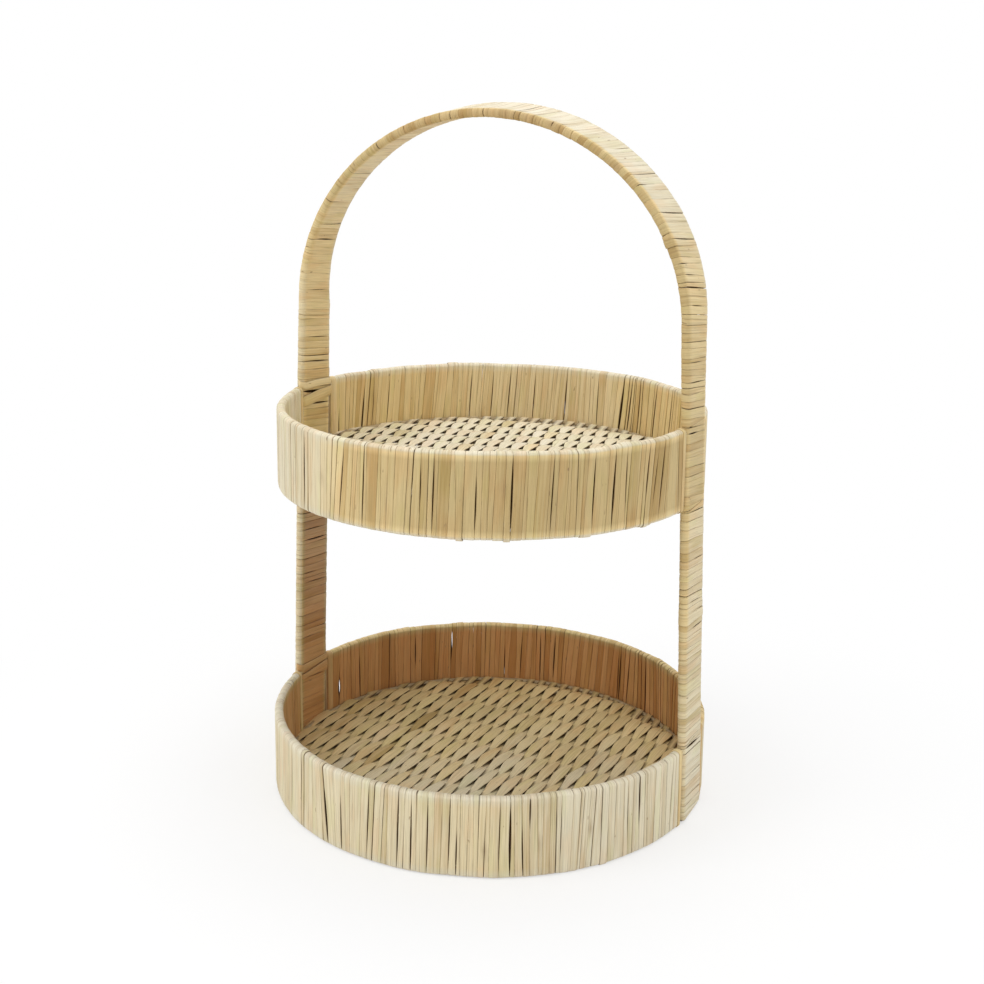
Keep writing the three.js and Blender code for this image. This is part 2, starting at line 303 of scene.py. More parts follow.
def peel_body(rings, low, high, tint, age_and_painted_light, painted_shade, stain, key):
    """A strip's body. Its grain runs along it and across it, and tint, stain, age with painted light, and
    painted shade colour it.
    """
    steps = np.linalg.norm(np.diff(rings[:, 3], axis=0), axis=1)
    flat = np.zeros(rings.shape[:2])
    run = np.concatenate([[0], np.cumsum(steps)])[:, None] + flat
    offset = (SIDE[None, :] - 0.5) * (high - low)[:, None]
    attributes = {
        "grain": np.stack([run, offset, np.full_like(run, key)], -1),
        "tint": tint[:, None] + flat,
        "age_and_painted_light": age_and_painted_light[:, None] + flat,
        "painted_shade": np.clip(painted_shade + flat, 0, 1),
        "stain": stain + flat,
    }
    return tube_mesh(rings, attributes)


# Widths of neighbouring turns, as shares of their mean
width_spread = 0.16
wide_share = 0.14  # of all turns
wide_range = (1.3, 1.8)
narrow_share = 0.16
narrow_range = (0.5, 0.75)
width_limits = (0.45, 1.8)


def strip_widths(rng, length, mean):
    """Widths of neighbouring turns, most of them alike, a few wide or narrow ones among them"""
    count = max(3, round(length / mean))
    kind = rng.random(count)
    widths = rng.normal(1, width_spread, count)
    widths = np.where(kind < wide_share, rng.uniform(*wide_range, count), widths)
    widths = np.where(kind > 1 - narrow_share, rng.uniform(*narrow_range, count), widths)
    widths = np.clip(widths, *width_limits)
    return widths * length / widths.sum()


def face_lean(part):
    """How a line that leans lies: ahead by a half where the low edge is, behind by a half at the high edge"""
    return np.interp(part, PARTS, (0.5, -0.5, -0.5, 0.5, 0.5))


def face_away(part, middle):
    """How many parts of the section lie between two of its places, the shorter way round"""
    away = np.abs(part % 4 - middle % 4)
    return np.minimum(away, 4 - away)


class Winding:
    """Strips of peel wound side by side round a band, from one place along it to another.

    The lines between neighbouring turns are numbered along the band. In one turn a line moves on by as many
    strips as are wound side by side, so one line is a strip's far edge and the next strip's near edge.
    Shares says how much of a turn's advance falls on each part of the section, and lean how far a line
    leans. A slit is given by its place in millimetres along, its part, its reach in parts and its strength.
    A lump is given by its place, part, reach along and height, and a stain by its place, part, reach along,
    reach in parts and strength. Loose gives pairs of place along and what it adds to half a gap."""

    wave_steps = 3  # free values for each turn, of the lines' waves
    wave_size = 0.09  # of the strips' mean width
    slack_steps = 2.5
    lift_steps = 1.5
    lift_size = 0.05 * MM
    tilt_size = 0.06 * MM
    tint_steps = 1.2
    slit_width = 0.55 * MM
    tight_gap = 0.02  # half of a gap's least width, in millimetres
    gap_size = 0.09 * MM
    gap_from = 0.2  # of the slack, above which a gap opens
    gap_power = 1.3
    one_line = 0.25  # of the mean width: slits that lie closer share a line
    least_step = 0.3  # of the mean width, between the lines of two slits
    lean_room = 10 * MM
    least_width = 0.35 * MM  # of a strip that is drawn at all
    least_half = 0.15 * MM
    lump_share = 0.6  # of a part of the section, that a lump reaches
    spare_turns = 3  # before and after the band, drawn in to its ends where they reach it

    def __init__(self, band, seed, start, end, mean, shares, age_and_painted_light, lean, slits, lumps, stains, loose, hidden):
        rng = np.random.default_rng(seed)
        self.band, self.seed, self.start, self.end = band, seed, start, end
        self.mean, self.shares, self.lumps, self.stains = mean, shares, lumps, stains
        self.lean, self.age_and_painted_light, self.loose, self.hidden = lean, age_and_painted_light, loose, hidden
        widths = strip_widths(rng, end - start, mean)
        self.count = len(widths)
        self.wave = Wander(rng, self.wave_steps * self.count, self.wave_size * mean)
        self.slack = Wander(rng, self.slack_steps * self.count, 1)
        self.lift = Wander(rng, self.lift_steps * self.count, self.lift_size)
        self.tilt = Wander(rng, self.lift_steps * self.count, self.tilt_size)
        self.tint = Wander(rng, self.tint_steps * self.count, 1)
        self.slits = []
        self.edges = self.settle(start + np.concatenate([[0], np.cumsum(widths)]), slits)

    def done(self, part, along):
        """Share of a turn's advance that a line has made at a part of the section"""
        made = np.zeros_like(np.asarray(part, float) + np.asarray(along, float))
        for i, share in enumerate(self.shares(along)):
            made = made + share * np.clip(part - i, 0, 1)
        return made

    def evened(self, part, place):
        """Share of a wide or narrow turn's own advance that a line has made at a part of the section.

        Hidden is 0 where the turns take it up on the outer face and 1 where they do on the inner one."""
        if self.hidden is None:
            return self.done(part, place)
        hidden = self.hidden(place)
        return (1 - hidden) * np.clip(part, 0, 1) + hidden * np.clip(part - 2, 0, 1)

    def settle(self, edges, slits):
        """Moves the lines so that one of them meets each slit"""
        wanted = []
        for along, part, reach, strength in slits:
            if self.start < along * MM < self.end:
                ahead = int(self.hidden is not None and self.evened(part, along * MM) > 0.5)
                advance = self.mean * (float(self.done(part, along * MM)) - ahead)
                wanted.append((along * MM - advance, part, reach, strength, ahead))
        index, indices, places = 0, [0], [edges[0]]
        for place, part, reach, strength, ahead in sorted(wanted):
            if index and place - places[-1] < self.one_line * self.mean:
                self.slits.append((index - ahead, part, reach, strength))
                continue
            index = max(index + 1, int(np.argmin(np.abs(edges - place))))
            if index < self.count and place < self.end - 0.5 * self.mean:
                indices.append(index)
                places.append(max(place, places[-1] + self.least_step * self.mean))
                self.slits.append((index - ahead, part, reach, strength))
        return np.interp(edges, np.append(edges[indices], edges[-1]), places + [edges[-1]])

    def line(self, index, part):
        """Place along the band of a line at a part of the section"""
        ends = []
        for number in (index, index + 1):
            inside = self.edges[np.clip(number, 0, self.count)]
            ends.append(inside + self.mean * (np.minimum(number, 0) + np.maximum(number - self.count, 0)))
        near, far = ends
        place = near + self.mean * self.done(part, near) + (far - near - self.mean) * self.evened(part, near)
        if self.lean:
            room = np.clip(np.minimum(place - self.start, self.end - place) / self.lean_room, 0, 1)
            place = place + self.lean(place) * face_lean(part) * room
        place = place + self.wave(self.wave_steps * (index + part / 4))
        return np.clip(place, self.start, self.end)

    def gap(self, index, part):
        """Half of the gap at a line"""
        slack = self.slack(self.slack_steps * (index + part / 4))
        loose = ramp(self.edges[np.clip(index, 0, self.count)], self.loose)
        gap = (self.tight_gap + loose) * MM
        gap = gap + self.gap_size * np.clip(slack - self.gap_from, 0, 2) ** self.gap_power
        for number, middle, reach, strength in self.slits:
            across = np.clip(np.abs(part + 4 * (index - number) - middle) / reach, 0, 1)
            gap = gap + strength * self.slit_width / 2 * np.cos(across * math.pi / 2)
        return gap

    def rise(self, index, part, place):
        """How far the lumps and the unevenness of the winding lift a strip"""
        lift = self.lift(self.lift_steps * (index + part / 4))
        for along, middle, reach, size in self.lumps:
            near = np.exp(-(((place - along * MM) / (reach * MM)) ** 2))
            lift = lift + size * MM * near * np.exp(-((face_away(part, middle) / self.lump_share) ** 2))
        return lift

    def stained(self, part, along):
        """How strongly the stains mark each point"""
        marked = np.zeros_like(along)
        for place, middle, reach, share, strength in self.stains:
            near = np.exp(-(((along - place * MM) / (reach * MM)) ** 2))
            marked = marked + strength * near * np.exp(-((face_away(part, middle) / share) ** 2))[:, None]
        return marked

    def body(self, face_steps, edge_steps):
        """The whole winding as one strip"""
        face = np.linspace(0, 1, face_steps, endpoint=False)
        edge = np.linspace(0, 1, edge_steps, endpoint=False)
        stations = np.concatenate([face, 1 + edge, 2 + face, 3 + edge])
        turns = np.arange(-self.spare_turns, self.count + self.spare_turns)
        index = np.repeat(turns, len(stations))
        part = np.tile(stations, len(turns))
        near, far = self.line(index, part), self.line(index + 1, part)
        kept = far - near > self.least_width
        used = slice(np.argmax(kept), len(kept) - np.argmax(kept[::-1]))
        index, part, near, far = index[used], part[used], near[used], far[used]
        middle = (near + far) / 2
        near_gap, far_gap = self.gap(index, part), self.gap(index + 1, part)
        low = np.minimum(near + near_gap, middle - self.least_half)
        high = np.maximum(far - far_gap, middle + self.least_half)
        along = across_strip(low, high)
        tilt = self.tilt(self.lift_steps * (index + part / 4))
        near_open, far_open = (np.clip(gap / full_gap, 0, 1)[:, None] for gap in (near_gap, far_gap))
        open_edges = near_open * LOW_EDGE + far_open * HIGH_EDGE
        lift = (
            DROP
            - open_drop * open_edges
            + (crown_height + crown_share * (high - low))[:, None] * CROWN
            + self.rise(index, part, middle)[:, None]
            + tilt[:, None] * SLOPE
        )
        rings = band_points(self.band, part[:, None] + np.zeros_like(along), along, lift)
        tint = self.tint(self.tint_steps * (index + part / 4))
        # Painted shade: the section's own, and more at an edge beside an open gap
        painted_shade = PAINTED_SHADE + open_painted_shade * open_edges
        stain = self.stained(part, along)
        age_and_painted_light = self.age_and_painted_light(middle, part)
        return peel_body(rings, low, high, tint, age_and_painted_light, painted_shade, stain, winding_key * self.seed)


# Loose strips and end rolls
loose_crown = 0.05  # of a loose strip's width
skein_sway = 0.25 * MM
skein_dive = 0.07  # of a skein's length, over which an end sinks under its neighbours
skein_sunk = 0.1 * MM
skein_rings = 60
roll_width = 5.2 * MM
roll_spread = 0.06  # of its width
roll_lift = 0.35 * MM
roll_bumps = 0.05 * MM
roll_steps = 8
roll_rings = 90
roll_from = 3.5  # the part of the section where a roll's strip begins and ends


def loose_strip(band, part, low, high, lift, seed, age_and_painted_light, closed=False):
    """A strip that lies on a band, along a line of parts and places"""
    along = across_strip(low, high)
    crown = (crown_height + loose_crown * (high - low))[:, None] * CROWN
    whole = part[:, None] % 4 + np.zeros_like(along)
    rings = band_points(band, whole, along, DROP + crown + lift[:, None], closed)
    tint = np.full(len(part), np.random.default_rng(seed).normal(0, 1))
    return peel_body(rings, low, high, tint, age_and_painted_light + 0 * part, PAINTED_SHADE, 0, loose_key * seed)


def skein(band, ends, widths, lift, seed, age_and_painted_light):
    """A loose strip over a winding, from one part and place in millimetres to another.

    Its two ends dive under the neighbouring turns."""
    rng = np.random.default_rng(seed)
    share = np.linspace(0, 1, skein_rings)
    part, middle = (first + (last - first) * share for first, last in zip(*ends))
    middle = middle * MM + Wander(rng, 4, skein_sway)(4 * share)
    width = np.interp(share, np.linspace(0, 1, len(widths)), widths) * MM
    over = lift * MM * np.clip(np.minimum(share, 1 - share) / skein_dive, 0, 1) - skein_sunk
    return loose_strip(band, part, middle - width / 2, middle + width / 2, over, seed, age_and_painted_light)


def end_roll(band, near, seed, age_and_painted_light):
    """A strip once round a wall's section, which covers the ends of its turns"""
    rng = np.random.default_rng(seed)
    share = np.linspace(0, 1, roll_rings)
    width = roll_width * (1 + Wander(rng, roll_steps, roll_spread)(roll_steps * share))
    low = np.zeros_like(share) if near else band.length - width
    lift = roll_lift + Wander(rng, roll_steps, roll_bumps)(roll_steps * share)
    return loose_strip(band, roll_from + 4 * share, low, low + width, lift, seed, age_and_painted_light, True)


# Materials
def empty_tree(owner, output):
    """The emptied node tree of a material or world, and the socket of its new output"""
    owner.use_nodes = True
    tree = owner.node_tree
    tree.nodes.clear()
    return tree, tree.nodes.new(output).inputs[0]


def new_material(name):
    """A material, its node tree and its shader"""
    material = bpy.data.materials.new(name)
    tree, surface = empty_tree(material, "ShaderNodeOutputMaterial")
    shader = tree.nodes.new("ShaderNodeBsdfPrincipled")
    tree.links.new(shader.outputs[0], surface)
    return material, tree, shader


def feed(tree, socket, value):
    """Gives a socket a number, a colour or another node's output"""
    if isinstance(value, (int, float)):
        socket.default_value = value
    elif isinstance(value, tuple):
        socket.default_value = (*value, 1)
    else:
        tree.links.new(value, socket)


def math_node(tree, operation, *values):
    node = tree.nodes.new("ShaderNodeMath")
    node.operation = operation
    for socket, value in zip(node.inputs, values):
        feed(tree, socket, value)
    return node.outputs[0]


def mix_colour(tree, share, first, second, blend="MIX"):
    node = tree.nodes.new("ShaderNodeMix")
    node.data_type = "RGBA"
    node.blend_type = blend
    node.clamp_factor = True
    for place, value in ((0, share), (6, first), (7, second)):
        feed(tree, node.inputs[place], value)
    return node.outputs[2]


def multiplied(tree, colour, factor):
    return mix_colour(tree, 1.0, colour, factor, "MULTIPLY")


def map_range(tree, value, low, high, to_low=0.0, to_high=1.0):
    node = tree.nodes.new("ShaderNodeMapRange")
    node.interpolation_type = "SMOOTHSTEP"
    for socket, number in zip(node.inputs, (value, low, high, to_low, to_high)):
        feed(tree, socket, number)
    return node.outputs["Result"]


def colour_ramp(tree, value, stops):
    node = tree.nodes.new("ShaderNodeValToRGB")
    tree.links.new(value, node.inputs[0])
    elements = node.color_ramp.elements
    while len(elements) < len(stops):
        elements.new(0.5)
    for element, (position, colour) in zip(elements, stops):
        element.position = position
        element.color = (*colour, 1)
    return node.outputs["Color"]


def noise(tree, vector, scale, detail=2.0, roughness=0.5):
    node = tree.nodes.new("ShaderNodeTexNoise")
    for key, value in (("Vector", vector), ("Scale", scale), ("Detail", detail), ("Roughness", roughness)):
        feed(tree, node.inputs[key], value)
    return node.outputs["Fac"]


def stretched_noise(tree, vector, scales, detail=2.0, roughness=0.5):
    """Noise with a scale of its own along each axis"""
    node = tree.nodes.new("ShaderNodeVectorMath")
    node.operation = "MULTIPLY"
    tree.links.new(vector, node.inputs[0])
    node.inputs[1].default_value = scales
    return noise(tree, node.outputs[0], 1.0, detail, roughness)


def attribute(tree, name, output):
    node = tree.nodes.new("ShaderNodeAttribute")
    node.attribute_name = name
    return node.outputs[output]


def add_bump(tree, shader, height, strength, distance):
    bump = tree.nodes.new("ShaderNodeBump")
    bump.inputs["Strength"].default_value = strength
    bump.inputs["Distance"].default_value = distance
    tree.links.new(height, bump.inputs["Height"])
    tree.links.new(bump.outputs[0], shader.inputs["Normal"])


# Colours of peel from the palest to the brownest
peel_ages = [
    (0.0, (0.85, 0.78, 0.62)),
    (0.2, (0.79, 0.71, 0.51)),
    (0.4, (0.82, 0.645, 0.33)),
    (0.6, (0.62, 0.475, 0.225)),
    (1.0, (0.66, 0.36, 0.146)),
]
stain_colour = (0.30, 0.19, 0.09)
# Shares of the base colour in its other tones
deep_tone = (0.76, 0.67, 0.53)
rosy_tone = (1.0, 0.94, 0.90)
green_tone = (0.96, 0.98, 0.90)


def peel_material(name, roughness, shadow=(0.30, 0.19, 0.11), depth=0.2):
    """Peel: fibres along the strip, a tone of its own for each stretch, brown fibre lines and a few knots.

    Shadow is the share of its colour that peel keeps where shade is painted, deep in a gap and under a strip,
    and depth its middle depth of tone."""
    material, tree, shader = new_material(name)
    vector = attribute(tree, "grain", "Vector")
    tint, age_and_painted_light, painted_shade, stained = (attribute(tree, key, "Fac") for key in ("tint", "age_and_painted_light", "painted_shade", "stain"))
    # Scales along a strip, across it and from one piece's grain to the next one's
    fine = stretched_noise(tree, vector, (45, 3200, 10), 3.0, 0.6)
    broad = stretched_noise(tree, vector, (16, 700, 10))
    cloudy = stretched_noise(tree, vector, (25, 120, 10))
    blush = stretched_noise(tree, vector, (22, 60, 17), 1.0)
    lines = stretched_noise(tree, vector, (12, 1900, 20), 1.0, 0.4)
    specks = stretched_noise(tree, vector, (130, 420, 30), 1.0)
    # Age browns the peel and also paints light and shade: paler on the arch's top, browner inside the trays
    # and on faces that the lamps light less
    base = colour_ramp(tree, age_and_painted_light, peel_ages)
    deep = multiplied(tree, base, deep_tone)
    spread = math_node(tree, "MULTIPLY_ADD", age_and_painted_light, 0.55, 0.13)
    own = math_node(tree, "MULTIPLY_ADD", tint, spread, depth)
    tone = math_node(tree, "MULTIPLY_ADD", math_node(tree, "SUBTRACT", broad, 0.5), 1.6, own)
    tone = math_node(tree, "MULTIPLY_ADD", math_node(tree, "SUBTRACT", cloudy, 0.5), 1.0, tone)
    colour = mix_colour(tree, math_node(tree, "MAXIMUM", tone, 0.0), base, deep)
    for hue, low, high in ((rosy_tone, 0.52, 0.66), (green_tone, 0.46, 0.34)):
        toned = multiplied(tree, colour, hue)
        colour = mix_colour(tree, map_range(tree, blush, low, high), colour, toned)
    colour = multiplied(tree, colour, map_range(tree, fine, 0.38, 0.68, 1.02, 0.82))
    colour = mix_colour(tree, map_range(tree, lines, 0.64, 0.76, 0.0, 0.5), colour, stain_colour)
    colour = mix_colour(tree, map_range(tree, specks, 0.745, 0.80, 0.0, 0.7), colour, stain_colour)
    marked = math_node(tree, "MULTIPLY", stained, map_range(tree, broad, 0.3, 0.6, 0.5, 1.0))
    colour = mix_colour(tree, marked, colour, stain_colour)
    # Painted shade: the colour darkens to its shadow share where painted_shade is set
    colour = mix_colour(tree, painted_shade, colour, multiplied(tree, colour, shadow))
    tree.links.new(colour, shader.inputs["Base Color"])
    rough = math_node(tree, "MULTIPLY_ADD", broad, 0.22, roughness - 0.11)
    tree.links.new(rough, shader.inputs["Roughness"])
    shader.inputs["Specular IOR Level"].default_value = 0.35
    height = math_node(tree, "MULTIPLY_ADD", broad, 1.6, fine)
    add_bump(tree, shader, height, 0.35, 0.12 * MM)
    return material


wall_peel = peel_material("wall_peel", 0.56)
handle_peel = peel_material("handle_peel", 0.54)
floor_peel = peel_material("floor_peel", 0.60, (0.12, 0.08, 0.05), 0.0)


def stake_material():
    material, tree, shader = new_material("floor_stake")
    place = tree.nodes.new("ShaderNodeTexCoord").outputs["Object"]
    streaks = stretched_noise(tree, place, (60, 1500, 1500))
    patches = noise(tree, place, 70.0)
    colour = mix_colour(tree, patches, (0.50, 0.39, 0.23), (0.40, 0.29, 0.15))
    colour = multiplied(tree, colour, map_range(tree, streaks, 0.4, 0.7, 1.0, 0.82))
    tree.links.new(colour, shader.inputs["Base Color"])
    tree.links.new(map_range(tree, streaks, 0.3, 0.7, 0.5, 0.7), shader.inputs["Roughness"])
    add_bump(tree, shader, streaks, 0.4, 0.15 * MM)
    return material


def steel_material():
    material, tree, shader = new_material("frame_rod")
    place = tree.nodes.new("ShaderNodeTexCoord").outputs["Object"]
    drawn = noise(tree, place, 900.0, 3.0, 0.6)
    rust = noise(tree, place, 120.0, 3.0, 0.6)
    colour = mix_colour(tree, map_range(tree, rust, 0.5, 0.7), (0.17, 0.15, 0.13), (0.22, 0.12, 0.06))
    tree.links.new(colour, shader.inputs["Base Color"])
    shader.inputs["Metallic"].default_value = 0.6
    tree.links.new(map_range(tree, drawn, 0.3, 0.7, 0.45, 0.75), shader.inputs["Roughness"])
    add_bump(tree, shader, drawn, 0.3, 0.1 * MM)
    return material


def dress(piece, material, slot_name, *replaced):
    """Gives a piece its material and body, and takes away the nodes that it replaces"""
    piece.data.materials.append(material)
    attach(piece, "root")
    if replaced:
        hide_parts(*replaced)


full_part = 0.42  # from a part's middle, as far as its own value holds
part_step = 0.16  # over which one part's value goes over into the next one's


def by_part(part, values):
    """A value for each place round the section, from those of its four parts, with soft steps between them"""
    total = 0
    for i, value in enumerate(values):
        away = face_away(part, i + 0.5)
        total = total + np.clip(1 - np.clip(away - full_part, 0, 1) / part_step, 0, 1) * value
    return total


# Walls
wall_strip = 4.4 * MM
drift_step = 22 * MM
drift_size = 0.9 * MM  # of the strips' lean


def add_wall(
    tray, half, seed, shares, slits, leans, lumps, outer, rim, inner, end,
    stains=(), drawn=((0, 0),), loose=((0, 0),), hidden=None,
):
    """A tray's wall on one side. Outer and inner are pairs of place along and age for its two faces; the age
    also paints shade, browner inside the trays and where the lamps light a face less.

    Rim is the age of its two edges, paler partly from wear and partly as a painted highlight, and end that of
    the rolls at its ends."""
    radius, base = (tray_radius, 0) if tray == "lower" else (upper_radius, upper_base)
    band = Wall(radius, base, -1 if half == "front" else 1, seed, drawn)
    drift = Wander(np.random.default_rng(seed + 40), band.length / drift_step, drift_size)

    def lean(place):
        return drift(place / drift_step) + ramp(place, leans) * MM

    def age_and_painted_light(place, part):
        return by_part(part, (ramp(place, outer), rim, ramp(place, inner), rim))

    winding = Winding(
        band, seed, 0, band.length, wall_strip, lambda along: shares, age_and_painted_light,
        lean, slits, lumps, stains, loose, hidden,
    )
    rolls = [end_roll(band, near, seed + 60 + near, end) for near in (False, True)]
    piece = join_meshes(f"{tray}_wall_peel_{half}", [winding.body(12, 6)] + rolls)
    dress(piece, wall_peel, "wall_peel", f"{tray}_wall_wrap_{half}")


# Slits: millimetres along from the right leg, part of the section, reach in parts, strength
upper_front_slits = [
    (9, 0.5, 0.5, 0.7), (28, 0.55, 0.5, 1.9), (34, 0.5, 0.35, 0.9), (41, 0.62, 0.33, 1.3),
    (58, 0.6, 0.4, 1.0), (67, 0.5, 0.5, 1.9), (81, 0.5, 0.48, 1.3), (106, 0.5, 0.5, 0.9),
    (130, 0.52, 0.5, 1.8), (151, 0.4, 0.35, 1.2), (175, 0.5, 0.5, 1.2), (183, 0.6, 0.3, 0.8),
    (221, 0.5, 0.5, 0.9), (238, 0.45, 0.5, 1.4), (274, 0.5, 0.55, 2.0), (311, 0.5, 0.5, 0.9),
    (330, 0.6, 0.4, 0.8),
]
lower_front_slits = [
    (14, 0.5, 0.5, 0.7), (46, 0.7, 0.4, 1.9), (56, 0.55, 0.45, 0.7), (103, 0.5, 0.4, 0.6),
    (122, 0.85, 0.25, 1.3), (128, 0.3, 0.4, 1.1), (135, 0.45, 0.5, 2.1), (141, 0.5, 0.5, 0.9),
    (167, 0.25, 0.35, 1.1), (171, 0.55, 0.55, 1.1), (185, 0.5, 0.55, 1.2), (195, 0.4, 0.55, 1.4),
    (204, 0.5, 0.55, 1.4), (225, 0.55, 0.5, 1.3), (246, 0.3, 0.45, 1.7), (260, 0.35, 0.4, 2.3),
    (286, 0.7, 0.35, 0.8), (300, 0.55, 0.5, 1.1),
]
upper_back_slits = [
    (99, 2.4, 0.4, 1.2), (119, 2.5, 0.45, 1.2), (138, 2.5, 0.45, 0.9), (147, 2.5, 0.45, 1.3),
    (155, 2.55, 0.5, 2.6), (177, 2.5, 0.45, 1.0), (205, 2.5, 0.45, 1.0), (230, 2.5, 0.45, 1.0),
    (250, 2.45, 0.4, 1.0), (264, 2.5, 0.45, 0.9), (280, 2.5, 0.45, 1.0), (349, 2.5, 0.45, 0.9),
    (363, 2.5, 0.4, 0.8), (372, 2.65, 0.45, 2.2), (398, 2.8, 0.35, 1.3),
]
lower_back_slits = [
    (130, 2.5, 0.45, 1.0), (149, 2.5, 0.45, 1.0), (160, 2.5, 0.45, 1.7), (164, 2.5, 0.45, 1.0),
    (221, 2.45, 0.4, 1.4), (234, 2.5, 0.45, 1.1), (248, 2.5, 0.4, 0.9), (263, 2.6, 0.3, 0.9),
    (306, 2.33, 0.28, 2.0), (305.3, 0.66, 0.28, 2.0), (336, 2.35, 0.25, 1.4), (388, 2.6, 0.45, 1.3),
    (409, 2.61, 0.15, 4.0), (409, 2.6, 0.4, 0.8), (404.4, 0.33, 0.15, 4.0), (414.2, 2.6, 0.4, 0.3),
]
# Shares of a turn's advance on the outer face, the rim, the inner face and the lower edge
upright = (-0.20, 0.05, 1.10, 0.05)
slanting = (0.0, 0.05, 0.90, 0.05)
even = (0.42, 0.05, 0.48, 0.05)
add_wall(
    "lower", "front", 11, upright, lower_front_slits,
    leans=[(0, 0), (115, 0), (128, -2), (140, 0), (235, 0), (246, -1.5), (260, -4), (275, 0)],
    lumps=[(74, 3.5, 3, 0.9), (98, 3.5, 4, 0.5), (204, 1.5, 5, 0.5), (286, 1.4, 5, 0.7)],
    outer=[(0, 0.15), (90, 0.18), (150, 0.3), (200, 0.25), (300, 0.24)],
    rim=0.08,
    inner=[(0, 0.9)],
    end=0.45,
    stains=[(150, 0.33, 1.5, 0.10, 0.6), (84, 0.5, 1.2, 0.10, 0.7), (117, 0.4, 1.0, 0.12, 0.5)],
    drawn=[(0, 0), (290, 0), (340, 1.2), (423, 1.2)],
)
add_wall(
    "lower", "back", 12, even, lower_back_slits,
    leans=[
        (0, 0), (109, -3), (130, -5), (149, 0), (221, 1.5), (234, -1.5), (270, 0), (320, 0), (328, -3),
        (388, -3), (400, 0),
    ],
    lumps=[(120, 1.5, 5, 0.6), (300, 1.5, 5, 0.5), (345, 1.5, 6, 0.5)],
    outer=[(0, 0.2)],
    rim=0.4,
    inner=[(0, 0.9), (150, 1.0)],
    end=0.8,
    loose=[
        (70, 0), (90, 0.15), (150, 0.15), (160, 0), (316, 0), (320, -0.15), (330, -0.15), (333, 0),
    ],
)
add_wall(
    "upper", "front", 13, upright, upper_front_slits,
    leans=[(0, -2), (9, -2), (16, 3), (28, 4), (34, 6), (41, 3), (60, 0), (220, 1), (238, 5), (255, 0)],
    lumps=[(41, 3.5, 4, 1.2), (86, 3.5, 3, 1.2), (133, 3.5, 4, 1.1), (160, 3.5, 3, 1.0), (58, 1.5, 5, 0.5)],
    outer=[(0, 0.6), (110, 0.62), (150, 0.62), (190, 0.56), (225, 0.5), (260, 0.26), (300, 0.2)],
    rim=0.12,
    inner=[(0, 0.5), (340, 0.35), (380, 0.12)],
    end=0.5,
    stains=[(255, 0.48, 1.5, 0.10, 0.6), (135, 0.6, 1.2, 0.12, 0.6), (106, 0.4, 2.2, 0.5, 0.3)],
)
add_wall(
    "upper", "back", 14, slanting, upper_back_slits,
    leans=[(0, 0), (99, 2), (130, 0), (372, 0), (420, -3)],
    lumps=[(294, 1.5, 4, 0.9), (358, 1.5, 5, 0.8)],
    outer=[(0, 0.2)],
    rim=0.1,
    inner=[(0, 0.4), (90, 0.42), (150, 0.48), (158, 0.33), (180, 0.31), (250, 0.33), (320, 0.4)],
    end=0.35,
    stains=[(244, 2.4, 2.5, 0.3, 0.25)],
    loose=[(80, 0), (95, 0.15), (150, 0.15), (158, 0)],
    hidden=lambda along: 0,
)

# Handle and legs
handle_strip = 4.7 * MM
handle = Handle()
half_way = handle.length / 2
lower_joint = handle.height_at(wall_height)
upper_joint_low = handle.height_at(upper_base)
upper_joint_high = handle.height_at(upper_base + wall_height)

# Age of the handle's peel together with painted light: brown on the inner face beside the trays and on the
# front edge, partly painted shade, and pale on the arch, partly a painted highlight
outer_age_and_painted_light = [
    (0, 0.15), (500, 0.15), (560, 0.05), (650, 0.12), (700, 0.3), (750, 0.45), (805, 0.5), (820, 0.58),
    (862, 0.58), (875, 0.3), (1020, 0.24), (1030, 0.16),
]
inner_age_and_painted_shade = [
    (0, 1.0), (60, 0.95), (200, 0.85), (230, 0.55), (300, 0.42), (370, 0.4), (420, 0.3), (500, 0.4),
]
front_age_and_painted_shade = [
    (0, 0.25), (330, 0.3), (420, 0.6), (560, 0.7), (640, 0.6), (700, 0.6), (860, 0.45), (940, 0.4),
    (1000, 0.3), (1081, 0.25),
]
back_age = 0.2


def handle_age_and_painted_light(place, part):
    return by_part(part, (ramp(place, outer_age_and_painted_light), back_age, ramp(place, inner_age_and_painted_shade), ramp(place, front_age_and_painted_shade)))


side_run = 60 * MM  # over which the turns go over from one side's slant to the other's
share_at_top = 0.8
least_slant = 0.06
more_slant = 0.80
edge_share = 0.04


def right_share(along):
    """0 on the left leg and its side of the arch, and 1 from just past the top of the arch on"""
    return np.clip((np.asarray(along) - half_way) / side_run + share_at_top, 0, 1)


def handle_shares(along):
    """Turns slant on the inner face of the left leg and on the outer face from the top of the arch on"""
    outer = least_slant + more_slant * right_share(along)
    return outer, edge_share, 1 - 2 * edge_share - outer, edge_share


